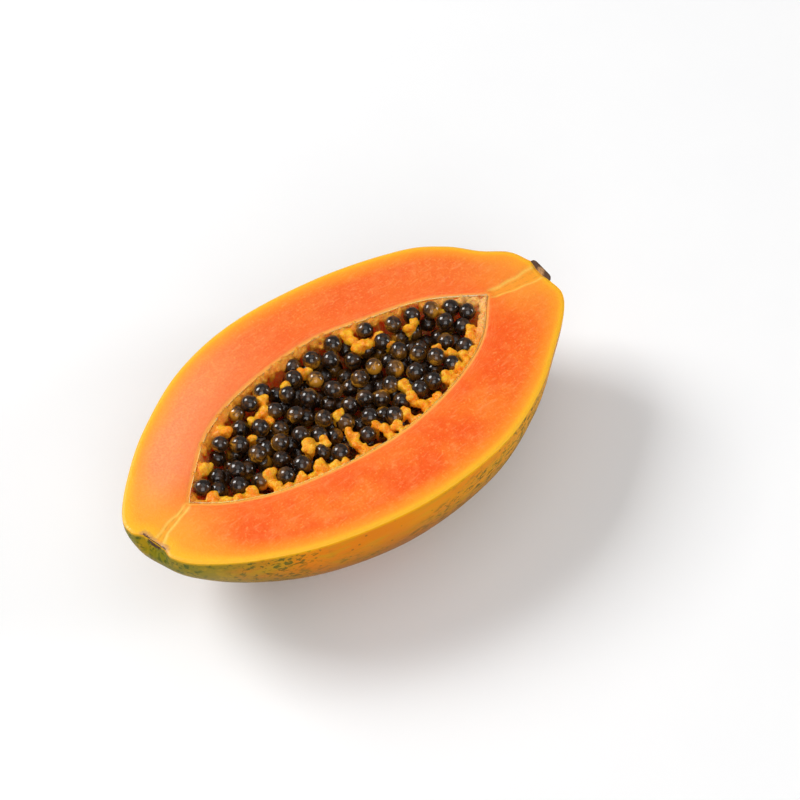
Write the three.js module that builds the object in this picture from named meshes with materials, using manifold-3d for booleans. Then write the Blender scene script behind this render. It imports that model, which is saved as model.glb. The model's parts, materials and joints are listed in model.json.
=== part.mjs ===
// Half of a ripe papaya, cut lengthwise and lying on its back with the cut face level.
// Millimetres, +Z up. X runs from the blossom scar to the stem scar, and the origin is
// the middle of the underside of the fruit's box.
import * as THREE from "three";
import { mergeVertices } from "three/addons/utils/BufferGeometryUtils.js";
import Module from "manifold-3d";

const wasm = await Module();
wasm.setup();

// Outlines on the cut face, each from the blossom end to the stem end, as [x, y]
// with x = 0 halfway between the two scars.
const FAR_RIM = [
  [-88.8, 4.4], [-91.2, 8.4], [-89.6, 15], [-79.5, 25.6], [-62.5, 38.4], [-37, 50.8],
  [-8, 55.2], [27, 50.8], [57, 41], [70.5, 31.6], [78.5, 21.4], [86, 13.8], [88.6, 5.4],
];
const NEAR_RIM = [
  [-87.2, -4.2], [-87.3, -9], [-82, -16.8], [-66.5, -28.6], [-43, -40.1], [-10, -48],
  [24, -47.6], [49, -39.6], [67, -29], [80, -20.2], [86.4, -13], [87.2, -5.6],
];
const CAVITY_FAR_RIM = [
  [-69.5, 4.8], [-63.5, 10.6], [-47, 23.2], [-26, 29.6], [4, 30.8], [28, 24.6], [48, 17.6], [66, 4.4],
];
const CAVITY_NEAR_RIM = [
  [-69.5, 4.8], [-60, -3.4], [-44, -11.7], [-20, -18], [3, -20.4], [28, -17.4], [50, -9.4], [66, 4.4],
];

// Height of the cut face, and the depths below it as shares of the half width. The belly's
// sections are fuller than an ellipse, whose power would be 2.
const FACE_HEIGHT = 46;
const BELLY_RATIO = 0.91;
const BELLY_POWER = 2.5;
const CAVITY_RATIO = 0.9;

// The stem scar stands out and the blossom scar is sunk in.
const STEM_SCAR_RISE = 2;
const BLOSSOM_SCAR_DENT = 0.8;

// Five shallow ribs run along the skin and stand out more towards the ends.
const RIBS = 5;
const RIB_RATIO = 0.03;

// The seeds that show, as [x, y, depth of the centre below the face]. They stand out of a
// core that fills the cavity up to CORE_DEPTH below the face.
const SEEDS = [
  [-61.8, 7.4, 1.8], [-57.5, 4.5, 4.4], [-54.4, 9.4, 4.9], [-52, 0.3, 2.4], [-50.8, 9.4, 8.6],
  [-48.3, 5.6, 2.1], [-48.2, 16.7, 7], [-46, 17.6, 1.7], [-44.7, -2.1, 4.3], [-44.2, 5.7, 6.4],
  [-42.1, 14.9, 8.3], [-40.7, 13.7, 2.8], [-40, 8.9, 8.6], [-38.5, 6.8, 3.1], [-37.5, -7.2, 2.4],
  [-36.9, 5.7, 8.6], [-35.8, 19.5, 4.3], [-33.6, 8.1, 6], [-33.6, 0.1, 4.3], [-32.7, 25.2, 3.9],
  [-31, 14.2, 2.4], [-30.7, -7.2, 2.4], [-30.1, 4.7, 2.4], [-27.5, 24.1, 1.5], [-26.1, 4.4, 6.6],
  [-25.8, 0.4, 8.6], [-25.7, 10.3, 4.3], [-23, 2.6, 2.1], [-22.7, 16.6, 2.4], [-21.3, -6.9, 4.3],
  [-20.9, 25.7, 2.4], [-18.5, 10.4, 2.4], [-17.8, -12.1, 2.4], [-17.7, -1, 3.8], [-16.1, 23.9, 6.4],
  [-14.7, 9.8, 6.8], [-14.6, 19.4, 3.1], [-13, -3.4, 6.2], [-12.5, 2.7, 2.4], [-10.6, 19.2, 7.5],
  [-10.5, 13.2, 2.4], [-9.1, 22.7, 2.4], [-7.2, -2.6, 4.2], [-6, 14.2, 8.4], [-5.9, -12.5, 2.4],
  [-5.1, 8.8, 6.8], [-4.9, 28.1, 4.3], [-3.4, 17.5, 2.4], [-3, -5.2, 7.3], [-2, 9.7, 1.9],
  [-1.7, 6.2, 8.6], [-1, 2.4, 4.8], [-0.3, -7.2, 2.4], [1.2, 25, 2.4], [4.1, 0.3, 3], [5.4, 9.3, 7.2],
  [5.6, 0.4, 8.6], [6.1, -7.5, 6.8], [6.3, -12.6, 2.4], [6.4, 20.9, 2.9], [7.5, 20.7, 8.6],
  [8.1, 7.5, 2.3], [8.8, -2.9, 4.3], [11.3, 25.4, 2.4], [12.7, 16.4, 4.3], [13.2, -8.6, 4.3],
  [13.2, 2.1, 6.8], [14.4, -1.6, 2.4], [15.4, 8.3, 2.4], [15.4, 23.1, 6.8], [20.2, 2.7, 2.4],
  [20.4, 17, 5.3], [20.6, -9.7, 2.4], [22.9, -3.2, 7.8], [23.3, 9.3, 6.8], [23.8, 22.6, 2.4],
  [24.5, -3.3, 2.1], [24.8, 15.7, 8.6], [25.2, 14.6, 2.4], [26.6, -10.3, 2.4], [26.6, 7.7, 2.4],
  [30.6, 2.3, 2.4], [32.8, 17.6, 1.8], [32.8, -4, 7], [33.4, 14.3, 6.6], [33.9, -3.6, 1.4],
  [36.5, -9, 2.4], [40.8, 16.6, 2.4], [42.5, 0.7, 4], [44.8, 6.2, 8.6], [45, 12.7, 6.8],
  [45.1, -6.2, 2.4], [46.8, 0.6, 7.9], [47.1, 13.3, 1.4], [47.7, 6.6, 2.4], [51.8, 1.9, 4.3],
  [53.4, 9.9, 2.4], [56.7, 4.8, 2.4],
];
const SEED_RADIUS = 3.15;
const SEED_SWELL = 1.08;
const CORE_DEPTH = 5;

// Tufts of pulp between the seeds, as [x, y, radius of the head]. Those within WALL_REACH of
// a rim lean in from the wall there, and the others stand up from the cavity floor.
const TUFTS = [
  [-61.6, 2.7, 2], [-58.7, -2.1, 1.3], [-57.3, 12.2, 2.2], [-55.7, -3.7, 1.5], [-54.5, 13, 1.4],
  [-50.2, -4.9, 2], [-43.7, 21.4, 1.6], [-43, -2.5, 1.2], [-42.9, -8.1, 1.9], [-41.2, 20.8, 2.3],
  [-40.7, -2.9, 1.8], [-40.2, -11.7, 1.5], [-36.3, 12.4, 1.5], [-34.8, -11.5, 1.8],
  [-31.6, -13.4, 1.4], [-31.3, 18.3, 1.6], [-27.2, -13.4, 2], [-26.8, 13.6, 1.1], [-26, -11.1, 2],
  [-25.8, 19.1, 2], [-25.2, -4.5, 2], [-23.3, -2.2, 2.3], [-23, 22.4, 2], [-22.9, -15.1, 1.9],
  [-19.1, -6.6, 1.4], [-18.8, -16.5, 1.6], [-18.5, -4.9, 1.8], [-13.7, 21.7, 1.9], [-11.3, -13.1, 1.9],
  [-10.6, -16.5, 1.3], [-10.5, -9.8, 2.1], [-9.6, -7.2, 1.4], [-8.7, 0.1, 1.9], [-6.8, 0.2, 1.4],
  [-5.8, 22.9, 1.6], [-3.2, 21.7, 1.4], [-1.4, -11.7, 1.8], [-0.2, -15, 1.8], [4, -16, 1.6],
  [9.7, -14.2, 1.8], [15.9, -10.4, 1.8], [16.3, 18.1, 1.9], [16.4, -15, 1.7], [17, 25.3, 2],
  [17, -17.3, 1.5], [17.2, -7.5, 1.6], [17.4, 21.9, 1.6], [17.7, -4.9, 2.2], [18.7, 25.1, 1.4],
  [18.8, 18.2, 1.7], [20.9, 16.9, 1.8], [22.3, -16.7, 1.7], [25.5, 12.1, 1.2], [25.6, 17, 1.9],
  [26.8, 10.9, 1.1], [30.3, -12.1, 2], [31.1, -15.3, 1.4], [32.5, -11.8, 1.4], [35.9, 12.6, 2.2],
  [36.8, -0.5, 1.7], [37.5, -12, 1.9], [39.1, -5.7, 1.7], [39.6, 13.5, 1.5], [41.1, -11.7, 1.5],
  [42.5, -8.2, 1.2], [46, -10.1, 1.6], [49.3, 10.4, 1.4], [49.3, -5.1, 2.3], [49.6, 7.7, 1.1],
  [51.8, -1.8, 1.6],
];
const TUFT_DEPTH = 1.8;
const WALL_REACH = 7;
const STALK_RATIO = 0.55;
const STALK_FALL = 3.2;
const ROOT_DEPTH = 1.5;

const CLEARANCE = 0.35;

// Mesh fineness.
const BODY_STEPS = 42;
const BODY_ARC = 16;
const CAVITY_STEPS = 24;
const CAVITY_ARC = 8;
const RIM_STEPS = 60;

function curveOf(outline) {
  const points = outline.map(([x, y]) => new THREE.Vector3(x, y, 0));
  return new THREE.CatmullRomCurve3(points, false, "catmullrom", 0.5);
}

// Points at equal turns of a half circle along a curve, so that they crowd at its ends.
function crowdedPoints(outline, steps) {
  const curve = curveOf(outline);
  const shares = Array.from({ length: steps + 1 }, (_, i) => (1 - Math.cos((Math.PI * i) / steps)) / 2);
  return shares.map((share) => curve.getPointAt(share));
}

// The centre and the half width of each cross-section between two rims.
function sectionsOf(farOutline, nearOutline, steps) {
  const far = crowdedPoints(farOutline, steps);
  const near = crowdedPoints(nearOutline, steps);
  return far.map((point, i) => ({
    centre: point.clone().add(near[i]).multiplyScalar(0.5),
    half: point.clone().sub(near[i]).multiplyScalar(0.5),
    share: i / steps,
  }));
}

// A closed surface through round-bottomed sections. bulge gives the share of the half width
// to the side and the depth at an angle from the far rim. The lid lies above the face by rise.
function loftBelowFace(sections, arcSteps, bulge, rise, ends) {
  const vertices = [];
  const faces = [];
  const add = (x, y, z) => vertices.push(x, y, z) / 3 - 1;
  const rings = sections.map((section) => {
    const { centre, half } = section;
    const at = (side, z) => add(centre.x + half.x * side, centre.y + half.y * side, z);
    const ring = [];
    if (rise > 0) ring.push(at(1, FACE_HEIGHT + rise));
    for (let j = 0; j <= arcSteps; j++) {
      const { side, depth } = bulge(section, (Math.PI * j) / arcSteps);
      ring.push(at(side, FACE_HEIGHT - depth));
    }
    if (rise > 0) ring.push(at(-1, FACE_HEIGHT + rise));
    return ring;
  });
  for (let i = 0; i + 1 < rings.length; i++) {
    rings[i].forEach((a, j) => {
      const next = (j + 1) % rings[i].length;
      const [b, c, d] = [rings[i][next], rings[i + 1][next], rings[i + 1][j]];
      faces.push(a, c, b, a, d, c);
    });
  }
  [rings[0], rings.at(-1)].forEach((ring, k) => {
    const tip = add(ends[k].x, ends[k].y, ends[k].z);
    ring.forEach((a, j) => {
      const b = ring[(j + 1) % ring.length];
      faces.push(...(k === 0 ? [tip, a, b] : [tip, b, a]));
    });
  });
  const geometry = new THREE.BufferGeometry();
  geometry.setAttribute("position", new THREE.Float32BufferAttribute(vertices, 3));
  geometry.setIndex(faces);
  return geometry;
}

function solidOf(geometry) {
  const plain = geometry.clone();
  plain.deleteAttribute("normal");
  plain.deleteAttribute("uv");
  const merged = mergeVertices(plain, 1e-4);
  const mesh = new wasm.Mesh({
    numProp: 3,
    vertProperties: merged.attributes.position.array,
    triVerts: new Uint32Array(merged.index.array),
  });
  return new wasm.Manifold(mesh);
}

function geometryOf(solid) {
  const mesh = solid.getMesh();
  const geometry = new THREE.BufferGeometry();
  geometry.setAttribute("position", new THREE.BufferAttribute(mesh.vertProperties, 3));
  geometry.setIndex(new THREE.BufferAttribute(mesh.triVerts, 1));
  return geometry;
}

const unionOf = (solids) => wasm.Manifold.union(solids);

const largestBody = (solid) => solid.decompose().reduce((a, b) => (a.volume() > b.volume() ? a : b));

// Everything below a height, or above it, as a block wider than the fruit.
function blockFrom(low, high) {
  const block = new THREE.BoxGeometry(400, 400, high - low);
  return solidOf(block.translate(0, 0, (low + high) / 2));
}

// The half fruit before it is hollowed, with a small flat to rest on.
function wholeHalf() {
  const sections = sectionsOf(FAR_RIM, NEAR_RIM, BODY_STEPS);
  const bulge = ({ half, share }, angle) => {
    const endness = Math.abs(2 * share - 1) ** 4;
    const rib = RIB_RATIO * (0.3 + 1.5 * endness) * Math.sin(angle) ** 2 * Math.cos(RIBS * angle);
    const roundness = Math.abs(Math.cos(angle)) ** BELLY_POWER + Math.sin(angle) ** BELLY_POWER;
    const swell = (1 + rib) / roundness ** (1 / BELLY_POWER);
    return { side: Math.cos(angle) * swell, depth: half.length() * BELLY_RATIO * Math.sin(angle) * swell };
  };
  const first = sections[0];
  const last = sections.at(-1);
  const scarMiddle = (section) => FACE_HEIGHT - (section.half.length() * BELLY_RATIO) / 2;
  const ends = [
    new THREE.Vector3(first.centre.x + BLOSSOM_SCAR_DENT, first.centre.y, scarMiddle(first)),
    new THREE.Vector3(last.centre.x + STEM_SCAR_RISE, last.centre.y, scarMiddle(last)),
  ];
  const body = solidOf(loftBelowFace(sections, BODY_ARC, bulge, 0, ends));
  return body.subtract(blockFrom(-40, 0));
}

// Cross-sections of the seed cavity, drawn in by inset.
function cavitySections(inset) {
  const sections = sectionsOf(CAVITY_FAR_RIM, CAVITY_NEAR_RIM, CAVITY_STEPS).slice(1, -1);
  return sections
    .filter(({ half }) => half.length() > 2 * inset)
    .map((section) => ({ ...section, half: section.half.clone().setLength(section.half.length() - inset) }));
}

// The space of the cavity up to rise above the face.
function cavitySolid(inset, rise) {
  const sections = cavitySections(inset);
  const bulge = ({ half }, angle) => ({
    side: Math.cos(angle),
    depth: half.length() * CAVITY_RATIO * Math.sin(angle),
  });
  const ends = [sections[0], sections.at(-1)].map(({ centre, half }) =>
    centre.clone().setZ(FACE_HEIGHT - half.length() * 0.4),
  );
  return solidOf(loftBelowFace(sections, CAVITY_ARC, bulge, rise, ends));
}

// The middle and the half width of the cavity at x.
function cavityAt(sections, x) {
  const found = sections.findIndex((section) => section.centre.x > x);
  const i = found < 0 ? sections.length - 1 : Math.max(found, 1);
  const [a, b] = [sections[i - 1], sections[i]];
  const share = (x - a.centre.x) / (b.centre.x - a.centre.x);
  const k = Math.min(Math.max(share, 0), 1);
  return {
    middle: a.centre.y + k * (b.centre.y - a.centre.y),
    half: a.half.length() + k * (b.half.length() - a.half.length()),
  };
}

// The point of both cavity rims that is nearest to a place on the face.
function nearestRim(place) {
  const rims = [...crowdedPoints(CAVITY_FAR_RIM, RIM_STEPS), ...crowdedPoints(CAVITY_NEAR_RIM, RIM_STEPS)];
  return rims.reduce((a, b) => (a.distanceTo(place) < b.distanceTo(place) ? a : b));
}

// Where a tuft's head lies, and its root in the wall or in the cavity floor.
function placeTuft([x, y, radius]) {
  const head = new THREE.Vector3(x, y, FACE_HEIGHT - TUFT_DEPTH);
  const place = new THREE.Vector3(x, y, 0);
  const rim = nearestRim(place);
  const reach = rim.distanceTo(place);
  if (reach < WALL_REACH) {
    const root = rim.addScaledVector(rim.clone().sub(place), ROOT_DEPTH / Math.max(reach, ROOT_DEPTH));
    return { head, root: root.setZ(head.z - STALK_FALL), radius };
  }
  const { middle, half } = cavityAt(cavitySections(0), x);
  const depth = half * CAVITY_RATIO * Math.sqrt(1 - ((y - middle) / half) ** 2);
  return { head, root: new THREE.Vector3(x, y, FACE_HEIGHT - depth - ROOT_DEPTH), radius };
}

// A few-sided ball, turned a little differently at each place.
function ballAt(geometry, centre) {
  geometry.rotateX(centre.x).rotateZ(centre.y);
  return solidOf(geometry.translate(centre.x, centre.y, centre.z));
}

// A tapering stalk from a root in the wall, with a lump at its head.
function tuftSolid({ head, root, radius }, swell) {
  const along = head.clone().sub(root);
  const thickness = radius * STALK_RATIO + swell;
  const stalk = new THREE.CylinderGeometry(thickness, thickness * 1.5, along.length(), 4);
  stalk.translate(0, along.length() / 2, 0);
  const upright = new THREE.Vector3(0, 1, 0);
  stalk.applyQuaternion(new THREE.Quaternion().setFromUnitVectors(upright, along.normalize()));
  stalk.translate(root.x, root.y, root.z);
  return unionOf([solidOf(stalk), ballAt(new THREE.IcosahedronGeometry(radius + swell, 0), head)]);
}

// Skin, flesh, wall and tufts, grown as one piece.
function fleshSolid(tufts) {
  const hollowed = wholeHalf().subtract(cavitySolid(0, 5));
  return largestBody(unionOf([hollowed, ...tufts.map((tuft) => tuftSolid(tuft, 0))]));
}

// The seeds, held together by the core that they stand out of and clear of wall and tufts.
function seedSolid(seeds, tufts) {
  const core = cavitySolid(0, 5).subtract(blockFrom(FACE_HEIGHT - CORE_DEPTH, FACE_HEIGHT + 20));
  const balls = seeds.map((seed) => ballAt(new THREE.OctahedronGeometry(SEED_RADIUS * SEED_SWELL, 1), seed));
  const kept = unionOf([core, ...balls]).intersect(cavitySolid(CLEARANCE, 10));
  return largestBody(kept.subtract(unionOf(tufts.map((tuft) => tuftSolid(tuft, CLEARANCE)))));
}

function meshOf(name, solid, color, roughness) {
  const material = new THREE.MeshStandardMaterial({ color, roughness, metalness: 0, flatShading: true });
  const mesh = new THREE.Mesh(geometryOf(solid), material);
  mesh.name = name;
  return mesh;
}

const tufts = TUFTS.map(placeTuft);
const seeds = SEEDS.map(([x, y, depth]) => new THREE.Vector3(x, y, FACE_HEIGHT - depth));

const part = new THREE.Group();
part.add(meshOf("papaya_half", fleshSolid(tufts), "#f5862b", 0.45));
part.add(meshOf("seed_pile", seedSolid(seeds, tufts), "#1d1510", 0.2));
const box = new THREE.Box3().setFromObject(part);
part.position.set(-(box.min.x + box.max.x) / 2, -(box.min.y + box.max.y) / 2, -box.min.z);
export default part;
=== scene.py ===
"""Half of a ripe papaya on a pale floor: cut flesh and skin, pulp tufts and seeds."""

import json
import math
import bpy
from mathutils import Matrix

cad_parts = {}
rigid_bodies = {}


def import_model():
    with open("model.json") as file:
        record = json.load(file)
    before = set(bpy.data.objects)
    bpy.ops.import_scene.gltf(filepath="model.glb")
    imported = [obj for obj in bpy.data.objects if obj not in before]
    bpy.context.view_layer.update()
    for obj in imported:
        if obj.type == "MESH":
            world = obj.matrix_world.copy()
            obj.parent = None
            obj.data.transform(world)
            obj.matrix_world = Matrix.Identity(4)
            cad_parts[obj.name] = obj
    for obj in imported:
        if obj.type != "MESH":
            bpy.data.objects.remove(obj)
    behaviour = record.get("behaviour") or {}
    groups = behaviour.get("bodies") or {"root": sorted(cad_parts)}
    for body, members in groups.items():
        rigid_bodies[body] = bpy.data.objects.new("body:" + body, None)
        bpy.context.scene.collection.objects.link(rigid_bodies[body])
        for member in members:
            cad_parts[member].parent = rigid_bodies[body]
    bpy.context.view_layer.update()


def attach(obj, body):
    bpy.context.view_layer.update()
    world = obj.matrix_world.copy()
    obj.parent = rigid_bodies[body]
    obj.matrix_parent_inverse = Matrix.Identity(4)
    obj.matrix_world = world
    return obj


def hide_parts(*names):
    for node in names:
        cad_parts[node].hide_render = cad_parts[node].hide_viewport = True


bl_info = {
    "name": "Papaya Half",
    "version": (1, 0, 0),
    "blender": (4, 5, 0),
    "location": "View3D > Sidebar > Papaya",
    "description": "Builds a papaya half with its flesh, skin, pulp tufts and seeds",
    "category": "Add Mesh",
}

import bmesh
import bpy
import numpy as np
from mathutils import Matrix, Vector, noise
from mathutils.kdtree import KDTree

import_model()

MM = 0.001

# Outlines on the cut face in millimetres, each from the blossom end to the stem end,
# with x = 0 halfway between the two scars and z = 0 on the cut face.
FAR_RIM = [
    (-88.8, 4.4), (-91.2, 8.4), (-89.6, 15), (-79.5, 25.6), (-62.5, 38.4), (-37, 50.8),
    (-8, 55.2), (27, 50.8), (57, 41), (70.5, 31.6), (78.5, 21.4), (86, 13.8), (88.6, 5.4),
]
NEAR_RIM = [
    (-87.2, -4.2), (-87.3, -9), (-82, -16.8), (-66.5, -28.6), (-43, -40.1), (-10, -48),
    (24, -47.6), (49, -39.6), (67, -29), (80, -20.2), (86.4, -13), (87.2, -5.6),
]
CAVITY_FAR_RIM = [
    (-69.5, 4.8), (-63.5, 10.6), (-47, 23.2), (-26, 29.6), (4, 30.8), (28, 24.6), (48, 17.6), (66, 4.4),
]
CAVITY_NEAR_RIM = [
    (-69.5, 4.8), (-60, -3.4), (-44, -11.7), (-20, -18), (3, -20.4), (28, -17.4), (50, -9.4), (66, 4.4),
]
OUTLINE_SHIFT = (0.6568108, -3.1833458)
FACE_HEIGHT = 46
BELLY_RATIO = 0.91
BELLY_POWER = 2.5
CAVITY_RATIO = 0.9
RIBS = 5
RIB_RATIO = 0.03

# The seeds that show: x, y, depth of the centre below the face, and how olive the gel is.
SEEDS = [
    (-61.8, 7.4, 1.8, 0), (-57.5, 4.5, 4.4, 0), (-54.4, 9.4, 4.9, 0), (-52, 0.3, 2.4, 0),
    (-50.8, 9.4, 8.6, 0), (-48.3, 5.6, 2.1, 0), (-48.2, 16.7, 7, 0), (-46, 17.6, 1.7, 0),
    (-44.7, -2.1, 4.3, 0.6), (-44.2, 5.7, 6.4, 0), (-42.1, 14.9, 8.3, 0.5), (-40.7, 13.7, 2.8, 0),
    (-40, 8.9, 8.6, 0), (-38.5, 6.8, 3.1, 0), (-37.5, -7.2, 2.4, 0), (-36.9, 5.7, 8.6, 1),
    (-35.8, 19.5, 4.3, 0), (-33.6, 8.1, 6, 0), (-33.6, 0.1, 4.3, 0), (-32.7, 25.2, 3.9, 0.5),
    (-31, 14.2, 2.4, 0), (-30.7, -7.2, 2.4, 0), (-30.1, 4.7, 2.4, 0.6), (-27.5, 24.1, 1.5, 0),
    (-26.1, 4.4, 6.6, 0), (-25.8, 0.4, 8.6, 0), (-25.7, 10.3, 4.3, 0.6), (-23, 2.6, 2.1, 0),
    (-22.7, 16.6, 2.4, 0), (-21.3, -6.9, 4.3, 0), (-20.9, 25.7, 2.4, 0), (-18.5, 10.4, 2.4, 0),
    (-17.8, -12.1, 2.4, 0), (-17.7, -1, 3.8, 0), (-16.1, 23.9, 6.4, 0), (-14.7, 9.8, 6.8, 0),
    (-14.6, 19.4, 3.1, 0), (-13, -3.4, 6.2, 0.5), (-12.5, 2.7, 2.4, 0.7), (-10.6, 19.2, 7.5, 0),
    (-10.5, 13.2, 2.4, 0), (-9.1, 22.7, 2.4, 0), (-7.2, -2.6, 4.2, 0.4), (-6, 14.2, 8.4, 0),
    (-5.9, -12.5, 2.4, 0), (-5.1, 8.8, 6.8, 0), (-4.9, 28.1, 4.3, 0), (-3.4, 17.5, 2.4, 0.7),
    (-3, -5.2, 7.3, 0), (-2, 9.7, 1.9, 0), (-1.7, 6.2, 8.6, 0), (-1, 2.4, 4.8, 0), (-0.3, -7.2, 2.4, 0),
    (1.2, 25, 2.4, 0.6), (4.1, 0.3, 3, 0), (5.4, 9.3, 7.2, 0), (5.6, 0.4, 8.6, 0), (6.1, -7.5, 6.8, 0.7),
    (6.3, -12.6, 2.4, 0), (6.4, 20.9, 2.9, 0), (7.5, 20.7, 8.6, 0), (8.1, 7.5, 2.3, 0.5),
    (8.8, -2.9, 4.3, 0.7), (11.3, 25.4, 2.4, 0), (12.7, 16.4, 4.3, 0), (13.2, -8.6, 4.3, 0),
    (13.2, 2.1, 6.8, 0), (14.4, -1.6, 2.4, 0), (15.4, 8.3, 2.4, 1), (15.4, 23.1, 6.8, 0),
    (20.2, 2.7, 2.4, 0.7), (20.4, 17, 5.3, 0), (20.6, -9.7, 2.4, 0), (22.9, -3.2, 7.8, 0),
    (23.3, 9.3, 6.8, 0), (23.8, 22.6, 2.4, 0), (24.5, -3.3, 2.1, 0), (24.8, 15.7, 8.6, 0),
    (25.2, 14.6, 2.4, 0), (26.6, -10.3, 2.4, 0), (26.6, 7.7, 2.4, 0), (30.6, 2.3, 2.4, 0.4),
    (32.8, 17.6, 1.8, 0), (32.8, -4, 7, 0), (33.4, 14.3, 6.6, 0.6), (33.9, -3.6, 1.4, 0), (36.5, -9, 2.4, 0),
    (40.8, 16.6, 2.4, 0), (42.5, 0.7, 4, 0.4), (44.8, 6.2, 8.6, 0), (45, 12.7, 6.8, 0), (45.1, -6.2, 2.4, 0),
    (46.8, 0.6, 7.9, 0), (47.1, 13.3, 1.4, 0.4), (47.7, 6.6, 2.4, 0), (51.8, 1.9, 4.3, 0),
    (53.4, 9.9, 2.4, 0), (56.7, 4.8, 2.4, 0),
]
SEED_RADIUS = 3.15
SEED_SIZES = (0.96, 1.06)
SEED_HEIGHT = (0.98, 0.1)

# Seeds strewn in the gaps beneath those that show, at least FILLER_GAP from any other.
FILLER_TRIES = 5000
FILLER_DEPTH = (6.4, 11)
FILLER_GAP = 5
PILE_ENDS = (-64, 61)
PILE_SIDES = (-18, 29)
CAVITY_STEPS = 24
RIM_MARKS = 120
LEAST_ROOM = 0.3

# Tufts of pulp between the seeds: x, y and the radius of the head.
TUFTS = [
    (-61.6, 2.7, 2), (-58.7, -2.1, 1.3), (-57.3, 12.2, 2.2), (-55.7, -3.7, 1.5), (-54.5, 13, 1.4),
    (-50.2, -4.9, 2), (-43.7, 21.4, 1.6), (-43, -2.5, 1.2), (-42.9, -8.1, 1.9), (-41.2, 20.8, 2.3),
    (-40.7, -2.9, 1.8), (-40.2, -11.7, 1.5), (-36.3, 12.4, 1.5), (-34.8, -11.5, 1.8),
    (-31.6, -13.4, 1.4), (-31.3, 18.3, 1.6), (-27.2, -13.4, 2), (-26.8, 13.6, 1.1), (-26, -11.1, 2),
    (-25.8, 19.1, 2), (-25.2, -4.5, 2), (-23.3, -2.2, 2.3), (-23, 22.4, 2), (-22.9, -15.1, 1.9),
    (-19.1, -6.6, 1.4), (-18.8, -16.5, 1.6), (-18.5, -4.9, 1.8), (-13.7, 21.7, 1.9),
    (-11.3, -13.1, 1.9), (-10.6, -16.5, 1.3), (-10.5, -9.8, 2.1), (-9.6, -7.2, 1.4), (-8.7, 0.1, 1.9),
    (-6.8, 0.2, 1.4), (-5.8, 22.9, 1.6), (-3.2, 21.7, 1.4), (-1.4, -11.7, 1.8), (-0.2, -15, 1.8),
    (4, -16, 1.6), (9.7, -14.2, 1.8), (15.9, -10.4, 1.8), (16.3, 18.1, 1.9), (16.4, -15, 1.7),
    (17, 25.3, 2), (17, -17.3, 1.5), (17.2, -7.5, 1.6), (17.4, 21.9, 1.6), (17.7, -4.9, 2.2),
    (18.7, 25.1, 1.4), (18.8, 18.2, 1.7), (20.9, 16.9, 1.8), (22.3, -16.7, 1.7), (25.5, 12.1, 1.2),
    (25.6, 17, 1.9), (26.8, 10.9, 1.1), (30.3, -12.1, 2), (31.1, -15.3, 1.4), (32.5, -11.8, 1.4),
    (35.9, 12.6, 2.2), (36.8, -0.5, 1.7), (37.5, -12, 1.9), (39.1, -5.7, 1.7), (39.6, 13.5, 1.5),
    (41.1, -11.7, 1.5), (42.5, -8.2, 1.2), (46, -10.1, 1.6), (49.3, 10.4, 1.4), (49.3, -5.1, 2.3),
    (49.6, 7.7, 1.1), (51.8, -1.8, 1.6),
]
TUFT_DEPTH = 1.8
WALL_REACH = 7
STALK_FALL = 3.2
ROOT_DEPTH = 1.5
FLOOR_ROOT = 9
STALK_LUMPS = 8
WEB_REACH = 6.2
WEB_SKIPPED = 0.15
WEB_SAG = 2.2
WEB_STEP = 0.7
FRINGE_STEP = 0.5
FRINGE_WIDTH = 1.9
SLOPE_STEP = 0.3
SLOPE_GAP = -0.12
STEM_FIBRES = 200
# Spans of the draws for the lumps: the least, and how far above it they reach.
HEAD_RADIUS, SMALL_RADIUS, STREWN = (0.44, 0.3), (0.5, 0.4), (0.35, 0.6)
WEB_RADIUS = (1.2, 0.5)
FRINGE_DEPTH, FRINGE_RADIUS = (1.9, 1.3), (1.0, 0.4)
SLOPE_RADIUS = (0.8, 0.4)
RIDGE_DROP, RIDGE_RADIUS, RIDGE_GAP = (2.0, 3.4), (0.85, 0.6), (3.2, 3.4)
FIBRE_REACH, FIBRE_DEPTH, FIBRE_RADIUS = (0.3, 2.6), (1.2, 2.2), (0.6, 0.4)
# How much of the fringe's paler colour each kind of lump takes.
TUFT, FRINGE, RIDGE, SLOPE, FIBRE = 0, 0.5, 0.8, 0.9, 1
LUMP_FACES = 2
PULP_RELAX_ROUNDS = 3
PULP_ROUGHNESS = 0.00012
GRAIN_SCALES = (900, 1900)
SEED_UNEVENNESS = 0.0005
# Each seed's turn about the three axes, in degrees, as spans of draws.
SEED_TURNS = ((100, 80), (0, 60), (0, 360))
DRAW_START = 2024


def linear(red, green, blue):
    """A screen colour of 0 to 255 as linear light."""
    shares = [c / 255 for c in (red, green, blue)]
    return tuple(((c + 0.055) / 1.055) ** 2.4 if c > 10 / 255 else c / 12.92 for c in shares)


# ---------------------------------------------------------------- outlines and draws


class Draw:
    """A draw between 0 and 1 from a linear congruential sequence."""

    def __init__(self, start):
        self.state = start

    def __call__(self):
        self.state = (1664525 * self.state + 1013904223) % 2**32
        return self.state / 2**32

    def within(self, span):
        return span[0] + (span[1] - span[0]) * self()

    def span(self, least, reach):
        return least + reach * self()

    def around(self, spread):
        """A step of up to a spread along each axis, either way."""
        return np.array([self() - 0.5, self() - 0.5, self() - 0.5]) * 2 * spread


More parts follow.
